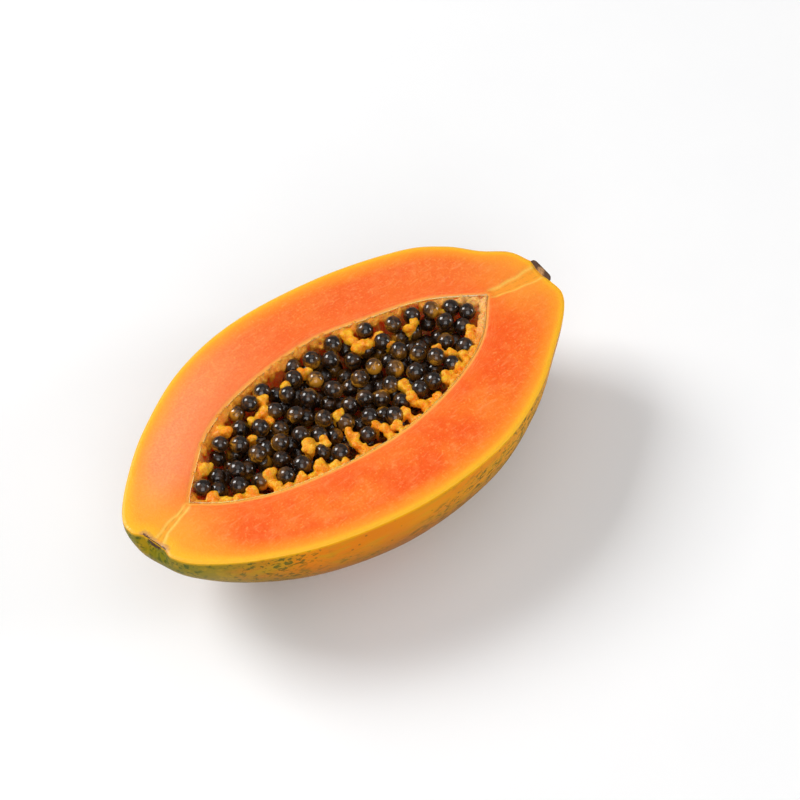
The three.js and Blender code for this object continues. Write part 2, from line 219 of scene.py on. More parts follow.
class Outline:
    """A smooth curve through points, walked by its share of the length."""

    DIVISIONS = 200

    def __init__(self, points):
        p = [np.array(point, float) for point in points]
        self.points = [2 * p[0] - p[1], *p, 2 * p[-1] - p[-2]]
        places = [self.point(i / self.DIVISIONS) for i in range(self.DIVISIONS + 1)]
        steps = [math.dist(a, b) for a, b in zip(places, places[1:])]
        self.lengths = np.concatenate([[0.0], np.cumsum(steps)])
        self.length = self.lengths[-1]

    def point(self, t):
        spans = len(self.points) - 3
        i = min(int(spans * t), spans - 1)
        w = spans * t - i
        a, b, c, d = self.points[i:i + 4]
        start, end = 0.5 * (c - a), 0.5 * (d - b)
        bend, twist = 3 * (c - b) - 2 * start - end, 2 * (b - c) + start + end
        return b + start * w + bend * w**2 + twist * w**3

    def parameter(self, share):
        marks = np.arange(self.DIVISIONS + 1) / self.DIVISIONS
        return np.interp(share * self.length, self.lengths, marks)

    def at(self, share):
        return self.point(self.parameter(share))

    def tangent(self, share):
        t = self.parameter(share)
        step = self.point(min(t + 1e-4, 1)) - self.point(max(t - 1e-4, 0))
        return step / np.linalg.norm(step)


def crowded(steps, crowding):
    """Shares from 0 to 1 that crowd at both, more so with more crowding."""
    t = np.linspace(0, 1, steps + 1)
    return t - crowding * np.sin(2 * np.pi * t)


def crowded_shares(steps):
    """Shares of a length at equal turns of a half circle, so that they crowd at its ends."""
    return [(1 - math.cos(math.pi * i / steps)) / 2 for i in range(steps + 1)]


def rim_points(outline, shares):
    curve = Outline(outline)
    return np.array([curve.at(share) for share in shares])


def to_part(points):
    """Points of the outlines' frame, in millimetres, as metres of the part's frame."""
    return (np.asarray(points, float) + (*OUTLINE_SHIFT, FACE_HEIGHT)) * MM


def smoothstep(low, high, value):
    t = np.clip((value - low) / (high - low), 0, 1)
    return t * t * (3 - 2 * t)


def distance_to_path(places, path):
    """The distance of each place from a path of points, and how far along the path it is."""
    best = np.full(len(places), 1e9)
    along = np.zeros(len(places))
    walked = 0.0
    for a, b in zip(path[:-1], path[1:]):
        step = b - a
        length = np.linalg.norm(step)
        k = np.clip(((places - a) @ step) / length**2, 0, 1)
        d = np.linalg.norm(places - (a + k[:, None] * step), axis=1)
        nearer = d < best
        best = np.where(nearer, d, best)
        along = np.where(nearer, walked + k * length, along)
        walked += length
    return best, along


# ---------------------------------------------------------------- tufts and seeds


class Cavity:
    """The middle and the half width of the seed cavity along its length."""

    def __init__(self):
        shares = crowded_shares(CAVITY_STEPS)
        far = rim_points(CAVITY_FAR_RIM, shares)[1:-1]
        near = rim_points(CAVITY_NEAR_RIM, shares)[1:-1]
        self.x = (far[:, 0] + near[:, 0]) / 2
        self.middles = (far[:, 1] + near[:, 1]) / 2
        self.halves = np.linalg.norm(far - near, axis=1) / 2

    def at(self, x):
        return np.interp(x, self.x, self.middles), np.interp(x, self.x, self.halves)


def placed_tufts():
    """Where each tuft's head and root lie: in the wall where one is near, or else below."""
    shares = np.linspace(0, 1, RIM_MARKS)
    rims = np.concatenate([rim_points(rim, shares) for rim in (CAVITY_FAR_RIM, CAVITY_NEAR_RIM)])
    tufts = []
    for x, y, radius in TUFTS:
        place = np.array([x, y])
        away = np.linalg.norm(rims - place, axis=1)
        rim = rims[away.argmin()]
        wall = away.min() < WALL_REACH
        if wall:
            outward = (rim - place) / max(away.min(), ROOT_DEPTH)
            root = np.array([*(rim + outward * ROOT_DEPTH), -TUFT_DEPTH - STALK_FALL])
        else:
            root = np.array([x, y, -FLOOR_ROOT])
        head = np.array([x, y, -TUFT_DEPTH])
        tufts.append({"head": head, "root": root, "radius": radius, "wall": wall})
    return tufts


def all_seeds(cavity, draw):
    """The seeds that show, and those strewn in the gaps beneath them."""
    seeds = [np.array([x, y, -depth]) for x, y, depth, _ in SEEDS]
    olives = [olive for *_, olive in SEEDS]
    for _ in range(FILLER_TRIES):
        x, y, depth = draw.within(PILE_ENDS), draw.within(PILE_SIDES), draw.within(FILLER_DEPTH)
        middle, half = cavity.at(x)
        aside = (y - middle) / max(half - SEED_RADIUS, LEAST_ROOM)
        below = depth / max(half * CAVITY_RATIO - SEED_RADIUS, LEAST_ROOM)
        place = np.array([x, y, -depth])
        gap = np.linalg.norm(np.array(seeds) - place, axis=1).min()
        if math.hypot(aside, below) < 1 and gap > FILLER_GAP:
            seeds.append(place)
            olives.append(0)
    return np.array(seeds), olives


# ---------------------------------------------------------------- flesh and skin mesh

CUT_FLESH, SKIN, CAVITY_WALL, STEM_WOOD = range(4)
BLOSSOM_SEAM = np.array([(-69.5, 4.8), (-74, 3.2), (-80.5, 1.8), (-87.6, -1.2)])
STEM_SEAM = np.array([(66, 4.4), (73, 2.6), (80, 1.2), (87.6, 0.2)])
# Each seam with half the width between its lines at the cavity and at the scar, and its depth.
SEAMS = ((BLOSSOM_SEAM, (0.6, 1.5), 0.4), (STEM_SEAM, (1.5, 2.9), 0.75))
SEAM_LENGTH = 19.0
# How far the cut face drops at the skin and at the cavity, and over which width.
RIM_ROLLS = ((0.4, 0.55), (0.6, 1.1))
WAVE_SCALE, WAVE_HEIGHT = 0.045, 0.25
SEAM_MARKS = 24
BLOSSOM_CHORD = np.array([(-88.8, 4.4), (-88.3, 0), (-87.2, -4.2)])
# The rings that close each end: scale, how far out they stand, and what they are made of.
BLOSSOM_RINGS = (
    (0.95, 0.1, SKIN), (0.8, 0.12, SKIN), (0.62, -0.1, SKIN), (0.4, -0.5, STEM_WOOD), (0.2, -0.7, STEM_WOOD),
)
STEM_RINGS = (
    (0.97, 0.5, STEM_WOOD), (0.94, 1.0, STEM_WOOD), (0.84, 1.45, STEM_WOOD), (0.66, 1.75, STEM_WOOD),
    (0.4, 1.8, STEM_WOOD),
)
# How finely the skin, the wall, the ends and the cut face are divided, and how they crowd.
SKIN_ARC, SKIN_CROWDING = 96, 0.05
WALL_ARC, WALL_CROWDING = 56, 0.12
FACE_ROWS, FACE_CROWDING = 34, 0.135
CHORD_STEPS = 24
SCALLOP_LENGTH = 6.6
SCALLOP_JITTER = 1.5
SCALLOP_ANGLES = (0.02, 0.32, 0.72)
FAR_PHASE, NEAR_PHASE = 1.7, 8.2
FACE_UV = (4.4, 0.25)


def loft_points(far, near, shares, angles, bulge):
    """A grid of points below the face, by section and by angle from the far rim."""
    centre, half = (far + near) / 2, (far - near) / 2
    width = np.linalg.norm(half, axis=1)
    side, depth = bulge(np.array(shares)[:, None], np.array(angles)[None], width[:, None])
    x = centre[:, None, 0] + half[:, None, 0] * side
    y = centre[:, None, 1] + half[:, None, 1] * side
    return np.stack([x, y, -depth], axis=2)


def belly_bulge(share, angle, width):
    near_end = np.abs(2 * share - 1) ** 4
    rib = RIB_RATIO * (0.3 + 1.5 * near_end) * np.sin(angle) ** 2 * np.cos(RIBS * angle)
    roundness = np.abs(np.cos(angle)) ** BELLY_POWER + np.abs(np.sin(angle)) ** BELLY_POWER
    swell = (1 + rib) / roundness ** (1 / BELLY_POWER)
    return np.cos(angle) * swell, width * BELLY_RATIO * np.sin(angle) * swell


def wall_bulge(share, angle, width):
    return np.cos(angle) * np.ones_like(share), width * CAVITY_RATIO * np.sin(angle)


def face_relief(places, to_skin, to_cavity):
    """Heights on the cut face, and how strongly each place lies on a seam's lines, in its
    trough, on the thin olive line beside it, and in the scar."""
    (skin_drop, skin_width), (cavity_drop, cavity_width) = RIM_ROLLS
    z = -skin_drop * np.exp(-((to_skin / skin_width) ** 2))
    z = z - cavity_drop * np.exp(-((to_cavity / cavity_width) ** 2))
    lines, trough, fine = np.zeros(len(places)), np.zeros(len(places)), np.zeros(len(places))
    for seam, spread, deep in SEAMS:
        path = rim_points(seam, np.linspace(0, 1, SEAM_MARKS))
        away, along = distance_to_path(places, path)
        share = along / SEAM_LENGTH
        half = spread[0] + (spread[1] - spread[0]) * share + 0.18 * np.sin(along * 0.8)
        inside = 1 - smoothstep(0.6, 1.4, away / (half + 0.4))
        fade = smoothstep(-0.05, 0.2, share)
        trough = np.maximum(trough, inside * fade)
        ridge = np.exp(-(((away - half) / 0.5) ** 2))
        lines = np.maximum(lines, ridge * fade)
        hair = np.exp(-(((away - half * 0.45) / 0.22) ** 2))
        fine = np.maximum(fine, hair * fade * (0.55 + 0.45 * np.sin(along * 1.7)))
        z -= deep * inside * fade - 0.1 * ridge * fade
        z -= 0.5 * deep * np.exp(-((away / 4.5) ** 2)) * fade
    waves = np.array([noise.noise(Vector((x * WAVE_SCALE, y * WAVE_SCALE, 3.1))) for x, y in places])
    inner = np.minimum(smoothstep(0, 5, to_skin), smoothstep(0, 4, to_cavity))
    scar = distance_to_path(places, BLOSSOM_CHORD)[0]
    return z + WAVE_HEIGHT * waves * inner, lines, trough, fine, scar


def pocket_depth(shares, angles, length, phase):
    """Scallops in the cavity wall where seeds lay, deepest a little below the rim."""
    along = np.array(shares)[:, None] * length / SCALLOP_LENGTH
    jitter = np.array([noise.noise(Vector((a * 0.9, phase, 0.4))) for a in along[:, 0]])[:, None]
    row = np.abs(np.cos(np.pi * (along + SCALLOP_JITTER * jitter)))
    fall = np.array(angles)[None]
    top, deepest, end = SCALLOP_ANGLES
    below_rim = smoothstep(top, deepest, fall) * (1 - smoothstep(deepest, end, fall))
    return smoothstep(0.05, 1.0, row * np.sqrt(below_rim)) * below_rim


class FleshMesh:
    """Collects the vertices and faces of the half fruit, and what each face is made of."""

    def __init__(self):
        self.vertices = []
        self.faces = []
        self.kinds = []

    def add(self, points):
        start = len(self.vertices)
        self.vertices.extend(np.asarray(points, float).reshape(-1, 3).tolist())
        return np.arange(start, len(self.vertices)).reshape(np.shape(points)[:-1])

    def sheet(self, grid, kind):
        rows, columns = grid.shape
        for i in range(rows - 1):
            for j in range(columns - 1):
                self.face((grid[i, j], grid[i, j + 1], grid[i + 1, j + 1], grid[i + 1, j]), kind)

    def band(self, upper, lower, kind):
        """Faces between two closed rings of equally many vertices."""
        for k in range(len(upper)):
            n = (k + 1) % len(upper)
            self.face((upper[k], upper[n], lower[n], lower[k]), kind)

    def face(self, corners, kind):
        corners = [int(c) for k, c in enumerate(corners) if c != corners[k - 1]]
        if len(set(corners)) >= 3:
            self.faces.append(corners)
            self.kinds.append(kind)


def closed(path):
    return np.concatenate([path, path[:1]])


def endness(shares):
    """How near each section is to an end, from 0 in the middle to 1."""
    return np.abs(np.array(shares) * 2 - 1)[:, None]


def settled_belly(far, near, shares):
    """The skin from the far rim under the belly to the near rim, settled to a flat below."""
    angles = np.pi * crowded(SKIN_ARC, SKIN_CROWDING)
    belly = loft_points(far, near, shares, angles, belly_bulge)
    creased = 0.5 * smoothstep(0.9, 1, endness(shares))
    belly[..., 2] += creased * np.cos(9 * angles)[None] ** 3 * np.sin(angles)[None]
    belly[..., 2] = np.maximum(belly[..., 2], -FACE_HEIGHT)
    return belly


def close_end(mesh, ring, ring_ids, outward, rings):
    """Closes an end of the skin with shrinking rings; gives the vertices of its rim on the face."""
    shares = np.linspace(0, 1, CHORD_STEPS + 1)[1:-1, None]
    rim_line = ring[-1] + (ring[0] - ring[-1]) * shares
    loop_points = np.concatenate([ring, rim_line])
    loop = np.concatenate([ring_ids, mesh.add(rim_line)])
    middle = (ring[0] + ring[-1]) / 2
    anchor = np.array([middle[0], middle[1], ring.mean(axis=0)[2] * 0.8])
    topmost = loop_points[:, 2] > -0.5
    previous = loop
    for scale, rise, kind in rings:
        points = anchor + (loop_points - anchor) * scale + outward * rise
        points[topmost, 2] = -0.05 - 1.2 * (1 - scale) ** 2
        current = mesh.add(points)
        mesh.band(previous, current, kind)
        previous = current
    tip = mesh.add((anchor + outward * rings[-1][1])[None])[0]
    mesh.band(previous, np.full(len(loop), tip), STEM_WOOD)
    return loop[SKIN_ARC + 1:]


def hollowed_wall(settings, far, near, shares):
    """The cavity's wall, which leans in below the rim, and how strongly each place is hollowed."""
    angles = np.pi * crowded(WALL_ARC, WALL_CROWDING)
    wall = loft_points(far, near, shares, angles, wall_bulge)
    length = Outline(CAVITY_FAR_RIM).length
    from_far = pocket_depth(shares, angles, length, FAR_PHASE)
    from_near = pocket_depth(shares, np.pi - angles, length, NEAR_PHASE)
    pocket = np.maximum(from_far, from_near) * smoothstep(0, 0.06, 1 - endness(shares))
    half = (far - near) / 2
    width = np.linalg.norm(half, axis=1)
    outward = half / np.maximum(width, 1e-6)[:, None]
    side = np.where(angles < np.pi / 2, 1, -1)
    lean = np.minimum(settings.shelf_width, 0.3 * width)[:, None]
    shelf = lean * (1 - np.exp(wall[..., 2] / settings.shelf_depth))
    shelf *= np.abs(np.cos(angles))[None] ** 0.5
    inwards = (shelf - pocket * (shelf + settings.scallop_depth)) * side
    wall[..., :2] -= outward[:, None] * inwards[..., None]
    return wall, pocket


def build_flesh(settings):
    """The mesh of the half, its points, and the values and the map that its materials follow."""
    shares = crowded_shares(settings.rim_steps)
    far, near = rim_points(FAR_RIM, shares), rim_points(NEAR_RIM, shares)
    inner_far, inner_near = rim_points(CAVITY_FAR_RIM, shares), rim_points(CAVITY_NEAR_RIM, shares)
    mesh = FleshMesh()
    belly = settled_belly(far, near, shares)
    skin = mesh.add(belly)
    mesh.sheet(skin, SKIN)

    # The two end scars: a dent at the blossom end and a cut stub at the stem end.
    blossom_chord = close_end(mesh, belly[0], skin[0], np.array([-1.0, 0.05, 0]), BLOSSOM_RINGS)
    stem_chord = close_end(mesh, belly[-1], skin[-1], np.array([1.0, 0.02, 0]), STEM_RINGS)

    # The cavity wall with its scallops meets in a point at each end.
    wall, pocket = hollowed_wall(settings, inner_far, inner_near, shares)
    wall_ids = np.zeros(wall.shape[:2], int)
    wall_ids[1:-1] = mesh.add(wall[1:-1])
    wall_ids[0] = mesh.add(wall[0, :1])[0]
    wall_ids[-1] = mesh.add(wall[-1, :1])[0]
    mesh.sheet(wall_ids[:, ::-1], CAVITY_WALL)

    # The cut face, in rows from the skin's rim to the cavity's.
    outer = np.concatenate([skin[:, 0], stem_chord[::-1], skin[::-1, SKIN_ARC], blossom_chord])
    stem_point = np.full(CHORD_STEPS - 1, wall_ids[-1, 0])
    blossom_point = np.full(CHORD_STEPS - 1, wall_ids[0, 0])
    inner = np.concatenate([wall_ids[:, 0], stem_point, wall_ids[::-1, WALL_ARC], blossom_point])
    points = np.array(mesh.vertices)
    outer_path, inner_path = points[outer][:, :2], points[inner][:, :2]
    grid = [outer]
    for t in crowded(FACE_ROWS, FACE_CROWDING)[1:-1]:
        row = np.zeros((len(outer), 3))
        row[:, :2] = outer_path + (inner_path - outer_path) * t
        grid.append(mesh.add(row))
    grid.append(inner)
    for upper, lower in zip(grid[:-1], grid[1:]):
        mesh.band(upper, lower, CUT_FLESH)

    # Distances that the colours follow, and the relief of the cut face.
    points = np.array(mesh.vertices)
    flat = np.concatenate(grid)
    places = points[flat][:, :2]
    cavity_path = np.concatenate([inner_far, inner_near[::-1]])
    to_skin = distance_to_path(places, closed(outer_path)[::2])[0]
    to_cavity = distance_to_path(places, cavity_path[::2])[0]
    relief, lines, trough, fine, scar = face_relief(places, to_skin, to_cavity)
    on_face = {
        "seam_line": lines, "seam_trough": trough, "seam_fine": fine, "to_scar": scar,
        "to_skin": to_skin, "to_cavity": to_cavity,
    }
    values = {name: np.zeros(len(points)) for name in (*on_face, "scallop")}
    for name, column in on_face.items():
        values[name][flat] = column
    values["scallop"][wall_ids[1:-1]] = pocket[1:-1]
    points[flat, 2] += relief
    uv = np.zeros((len(points), 2))
    for r, row in enumerate(grid):
        uv[row, 0] = np.linspace(0, FACE_UV[0], len(outer))
        uv[row, 1] = r / len(grid) * FACE_UV[1]
    return mesh, points, values, uv


def linked(name, data):
    """A new object with its data, in the scene."""
    obj = bpy.data.objects.new(name, data)
    bpy.context.collection.objects.link(obj)
    return obj


def mesh_object(name, points, faces, kinds=None, materials=(), values=None, uv=None):
    data = bpy.data.meshes.new(name)
    data.from_pydata(np.asarray(points).tolist(), [], faces)
    for material in materials:
        data.materials.append(material)
    if kinds is not None:
        data.polygons.foreach_set("material_index", kinds)
    data.polygons.foreach_set("use_smooth", [True] * len(data.polygons))
    for key, column in (values or {}).items():
        layer = data.attributes.new(key, "FLOAT", "POINT")
        layer.data.foreach_set("value", np.asarray(column, np.float32))
    if uv is not None:
        layer = data.uv_layers.new(name="along_and_across")
        corners = np.zeros(len(data.loops), np.int32)
        data.loops.foreach_get("vertex_index", corners)
        layer.data.foreach_set("uv", uv[corners].astype(np.float32).ravel())
    data.validate()
    data.update()
    return linked(name, data)


def face_outwards(obj):
    mesh = bmesh.new()
    mesh.from_mesh(obj.data)
    bmesh.ops.recalc_face_normals(mesh, faces=mesh.faces)
    mesh.to_mesh(obj.data)
    mesh.free()


# ---------------------------------------------------------------- materials

# Screen colours that the materials lay over one another.
SHADES = {
    "salmon_and_sheen": (248, 118, 50), "pale_sheen_salmon": (252, 168, 112), "red_grain": (236, 84, 14),
    "bright_grain": (255, 168, 84), "cloud": (255, 156, 82), "fibre_and_glint": (255, 172, 108),
    "cavity_red": (252, 100, 30), "rim_line": (255, 166, 92), "scar_yellow": (255, 176, 58),
    "rim_yellow": (254, 190, 34), "seam_trough": (252, 164, 42), "seam_line": (255, 206, 92),
    "seam_fine": (196, 132, 34), "pale_rim": (255, 184, 78), "scar_edge": (196, 140, 84),
    "scar_dark": (78, 44, 24), "dark_green": (84, 100, 20), "skin_streak": (196, 150, 12),
    "skin_fleck": (58, 78, 14), "pore": (84, 72, 20), "painted_belly_shade": (130, 82, 0),
    "cut_rim": (252, 184, 10), "wall_deep": (255, 138, 52), "wall_bright": (255, 166, 84),
    "wall_fibre": (255, 190, 116), "hollow_red_and_shade": (255, 112, 40), "wood_deep": (150, 108, 66),
    "wood_bright": (214, 164, 110), "bark": (70, 42, 26), "wood_ring": (58, 36, 22),
    "fringe": (255, 138, 40), "stem_fibre": (255, 192, 118), "pulp_grain": (255, 200, 76),
    "pulp_painted_shade": (240, 122, 18), "seed_brown": (70, 40, 14), "amber_gel": (204, 138, 34),
}


class Nodes:
    """A node tree, with a short way to add and link its nodes."""

    def __init__(self, tree):
        self.tree = tree

    def put(self, socket, value):
        if isinstance(value, bpy.types.NodeSocket):
            self.tree.links.new(value, socket)
        elif hasattr(socket.default_value, "__len__") and len(socket.default_value) == 4 and len(value) == 3:
            socket.default_value = (*value, 1)
        else:
            socket.default_value = value

    def node(self, kind, inputs=None, **settings):
        node = self.tree.nodes.new(kind)
        for key, value in settings.items():
            setattr(node, key, value)
        for key, value in (inputs or {}).items():
            self.put(node.inputs[key], value)
        return node


class Shader(Nodes):
    """A material's node tree."""

    def __init__(self, name):
        self.material = bpy.data.materials.new(name)
        self.material.use_nodes = True
        super().__init__(self.material.node_tree)
        self.surface = self.tree.nodes["Principled BSDF"]
        self.coordinates = self.node("ShaderNodeTexCoord")

    def math(self, operation, a, b):
        return self.node("ShaderNodeMath", {0: a, 1: b}, operation=operation).outputs[0]

    def times(self, a, b):
        return self.math("MULTIPLY", a, b)

    def plus(self, a, b):
        return self.math("ADD", a, b)

    def swing(self, value, width):
        """A value around one half, moved to lie around zero and widened."""
        return self.times(self.math("SUBTRACT", value, 0.5), width)

    def ramp(self, value, low, high, start=0.0, end=1.0):
        span = {"Value": value, "From Min": low, "From Max": high, "To Min": start, "To Max": end}
        return self.node("ShaderNodeMapRange", span, interpolation_type="SMOOTHSTEP").outputs[0]

    def mix(self, share, a, b):
        return self.node("ShaderNodeMix", {"Factor": share, 6: a, 7: b}, data_type="RGBA").outputs[2]

    def lay(self, colour, *layers):
        """Shades over a colour, each by a share or by where a value lies in a span."""
        for shade, value, *span in layers:
            shade = linear(*SHADES[shade]) if isinstance(shade, str) else shade
            colour = self.mix(self.ramp(value, *span) if span else value, colour, shade)
        return colour

    def split(self, vector):
        return self.node("ShaderNodeSeparateXYZ", {0: vector}).outputs

    def distance(self, vector, centre):
        apart = self.node("ShaderNodeVectorMath", {0: vector, 1: centre}, operation="DISTANCE")
        return apart.outputs["Value"]

    def scaled(self, source, scale, turn=(0, 0, 0)):
        return self.node("ShaderNodeMapping", {"Vector": source, "Scale": scale, "Rotation": turn}).outputs[0]

    def noise(self, source, scale, detail=2.0, roughness=0.5, distortion=0.0):
        fineness = {"Scale": scale, "Detail": detail, "Roughness": roughness, "Distortion": distortion}
        return self.node("ShaderNodeTexNoise", {"Vector": source, **fineness}).outputs["Fac"]

    def cells(self, source, scale):
        return self.node("ShaderNodeTexVoronoi", {"Vector": source, "Scale": scale}).outputs["Distance"]

    def value(self, name):
        return self.node("ShaderNodeAttribute", attribute_name=name).outputs["Fac"]

    def group(self, tree, **inputs):
        return self.node("ShaderNodeGroup", inputs, node_tree=tree).outputs

    def bump(self, height, distance, strength=1.0, **under):
        heights = {"Height": height, "Distance": distance, "Strength": strength}
        return self.node("ShaderNodeBump", {**heights, **under}).outputs[0]

    def finish(self, **inputs):
        for key, item in inputs.items():
            self.put(self.surface.inputs[key.replace("_", " ")], item)
        return self.material


def grain_group():
    """A node group of moist grain: fine cells over soft clouds, from coordinates and a scale."""
    tree = bpy.data.node_groups.new("moist_grain", "ShaderNodeTree")
    for name, kind in (("Vector", "Vector"), ("Scale", "Float"), ("Mealiness", "Float")):
        tree.interface.new_socket(name, in_out="INPUT", socket_type="NodeSocket" + kind)
    for name in ("Grain", "Cloud"):
        tree.interface.new_socket(name, in_out="OUTPUT", socket_type="NodeSocketFloat")
    n = Nodes(tree)
    entry = n.node("NodeGroupInput").outputs
    vector, scale = entry["Vector"], entry["Scale"]
    fine = n.node("ShaderNodeTexNoise", {"Vector": vector, "Scale": scale, "Detail": 3, "Roughness": 0.62})
    cells = n.node("ShaderNodeTexVoronoi", {"Vector": vector, "Scale": scale})
    parts = {"Factor": entry["Mealiness"], "A": fine.outputs["Fac"], "B": cells.outputs["Distance"]}
    grain = n.node("ShaderNodeMix", parts)
    coarse = n.node("ShaderNodeMath", {0: scale, 1: 0.22}, operation="MULTIPLY")
    cloud = n.node("ShaderNodeTexNoise", {"Vector": vector, "Scale": coarse.outputs[0], "Detail": 2})
    n.node("NodeGroupOutput", {"Grain": grain.outputs["Result"], "Cloud": cloud.outputs["Fac"]})
    return tree


def grain_tree():
    """The one moist_grain group, built when it is first asked for."""
    return bpy.data.node_groups.get("moist_grain") or grain_group()


def cut_flesh_material(settings):
    s = Shader("papaya_cut_flesh")
    place, along = s.coordinates.outputs["Object"], s.coordinates.outputs["UV"]
    skin, cavity, scar = s.value("to_skin"), s.value("to_cavity"), s.value("to_scar")
    x, y, _ = s.split(place)

    clouds = s.noise(place, 48, 3, 0.55)
    grain = s.group(grain_tree(), Vector=place, Scale=1250.0, Mealiness=0.35)
    fibres = s.noise(s.scaled(place, (210, 760, 500), (0, 0, 0.42)), 1.0, 3, 0.62, 0.3)
    rim_lines = s.noise(s.scaled(along, (14, 520, 1)), 1.0, 2, 0.6)

    colour = s.mix(s.ramp(clouds, 0.34, 0.66), settings.flesh_deep, settings.flesh_bright)
    far_side_sheen = s.ramp(y, 0.001, 0.014)
    pale = s.times(s.ramp(x, 0.01, -0.06), far_side_sheen)
    lines = s.times(s.ramp(rim_lines, 0.48, 0.68), s.ramp(cavity, 1.2, 6.5, 1, 0))
    blossom, stem = s.distance(place, settings.blossom_scar), s.distance(place, settings.stem_scar)
    widening = s.ramp(blossom, 0.004, 0.034, 2.3, 1.0)
    wander = s.plus(skin, s.swing(clouds, 5.0))
    woody = s.plus(scar, s.swing(grain["Grain"], 2.0))
    colour = s.lay(
        colour,
        # Salmon on the far side, palest towards the blossom end: partly the flesh's own tone, partly painted
        # sheen.
        ("salmon_and_sheen", s.times(far_side_sheen, 0.5)),
        ("pale_sheen_salmon", s.times(pale, 0.75)),
        # Grain and short wet fibres, whose pale streaks are partly their own tone, partly painted glints.
        ("red_grain", grain["Grain"], 0.4, 0.62, 0.22, 0),
        ("bright_grain", grain["Grain"], 0.55, 0.75, 0, 0.5),
        ("cloud", grain["Cloud"], 0.46, 0.72, 0, 0.2),
        ("fibre_and_glint", fibres, 0.52, 0.74, 0, 0.3),
        # Redder beside the cavity, with paler lines that follow its rim.
        ("cavity_red", cavity, 1.5, 10, 0.4, 0),
        ("rim_line", s.times(lines, 0.45)),
        # Yellow around both scars and towards the skin.
        ("scar_yellow", blossom, 0.004, 0.032, 0.7, 0),
        ("scar_yellow", stem, 0.004, 0.032, 0.5, 0),
        (settings.flesh_edge, s.math("DIVIDE", wander, widening), 0.4, 8.5, 0.9, 0),
        ("rim_yellow", s.math("DIVIDE", skin, widening), 0.5, 3.0, 0.85, 0),
        # The pale lines along the seams and at the cavity's rim, and the scar's thin dark edge.
        ("seam_trough", s.times(s.value("seam_trough"), 0.6)),
        ("seam_line", s.times(s.value("seam_line"), 0.75)),
        ("seam_fine", s.times(s.value("seam_fine"), 0.5)),
        ("pale_rim", cavity, 0.4, 1.5, 0.75, 0),
        ("scar_edge", woody, 1.0, 2.6, 0.75, 0),
        ("scar_dark", woody, 0.35, 1.0, 0.95, 0),
    )

    normal = s.bump(grain["Grain"], 0.00022, 0.55, Normal=s.bump(fibres, 0.0005, 0.55))
    roughness = s.ramp(grain["Grain"], 0.3, 0.7, 0.32, 0.5)
    s.finish(Subsurface_Weight=0.18, Subsurface_Scale=0.003, Subsurface_Radius=(1.0, 0.35, 0.08))
    return s.finish(Base_Color=colour, Roughness=roughness, Normal=normal, Specular_IOR_Level=0.4)


def skin_material(settings):
    s = Shader("papaya_skin")
    place = s.coordinates.outputs["Object"]
    x, _, z = s.split(place)

    lengthwise = s.scaled(place, (0.35, 1, 1))
    patches = s.noise(lengthwise, 28, 4, 0.6, 0.3)
    streaks = s.noise(s.scaled(place, (0.12, 1, 1)), 230, 3, 0.6)
    flecks = s.noise(s.scaled(place, (0.5, 1, 1)), 620, 3, 0.62, 0.5)
    flecked = s.noise(lengthwise, 52, 2, 0.5)

    colour = s.mix(s.ramp(patches, 0.38, 0.64), settings.skin_orange, settings.skin_yellow)
    # Green lies at the blossom end and in mottled patches along the back.
    blossom_green = s.ramp(x, -0.03, -0.092, 0.0, 0.7)
    low_green = s.ramp(z, 0.04, 0.012, 0.0, 0.2)
    stem_green = s.ramp(x, 0.02, 0.08, 0.0, 0.12)
    greenness = patches
    for part in (blossom_green, low_green, stem_green, s.times(streaks, 0.3)):
        greenness = s.plus(greenness, part)
    dark = s.times(s.ramp(flecks, 0.505, 0.6), s.ramp(flecked, 0.38, 0.54))
    # A band of painted shade under the belly, laid over the colour below.
    band = s.times(s.ramp(z, 0.042, 0.02, 0, 0.75), s.ramp(z, 0.0, 0.018, 0.4, 1))
    colour = s.lay(
        colour,
        (settings.skin_green, greenness, 0.74, 1.22, 0, 0.85),
        ("dark_green", greenness, 1.15, 1.5, 0, 0.45),
        ("skin_streak", streaks, 0.46, 0.66, 0, 0.55),
        ("skin_fleck", s.times(dark, 0.8)),
        ("pore", s.cells(place, 260.0), 0.1, 0.16, 0.55, 0),
        # Painted shade: duller under the belly, most of all in a broad band above the flat that it lies on.
        ("painted_belly_shade", band),
        # The rim of the cut is bright yellow.
        ("cut_rim", z, 0.0442, 0.0457, 0, 0.75),
    )

    normal = s.bump(s.noise(place, 300, 3, 0.55), 0.0004, 0.35)
    s.finish(Coat_Weight=0.02, Coat_Roughness=0.2, Specular_IOR_Level=0.05)
    return s.finish(Base_Color=colour, Roughness=s.ramp(patches, 0.3, 0.7, 0.34, 0.48), Normal=normal)


def cavity_wall_material():
    s = Shader("papaya_cavity_wall")
    place = s.coordinates.outputs["Object"]
    grain = s.group(grain_tree(), Vector=place, Scale=900.0, Mealiness=0.5)
    fibres = s.noise(s.scaled(place, (1, 1, 0.3)), 340, 3, 0.6)
    clouded = s.ramp(grain["Cloud"], 0.35, 0.65)
    colour = s.mix(clouded, linear(*SHADES["wall_deep"]), linear(*SHADES["wall_bright"]))
    # The seeds' hollows take a redder orange: partly the flesh's own colour, partly painted shade in the
    # hollows.
    scallop = s.times(s.ramp(s.value("scallop"), 0.12, 0.5), 0.7)
    colour = s.lay(colour, ("wall_fibre", fibres, 0.5, 0.72, 0, 0.4), ("hollow_red_and_shade", scallop))
    normal = s.bump(grain["Grain"], 0.0006, 0.8)
    roughness = s.ramp(grain["Grain"], 0.3, 0.7, 0.35, 0.6)
    s.finish(Subsurface_Weight=1.0, Subsurface_Scale=0.012, Subsurface_Radius=(1.0, 0.42, 0.12))
    return s.finish(Base_Color=colour, Roughness=roughness, Normal=normal, Specular_IOR_Level=0.25)


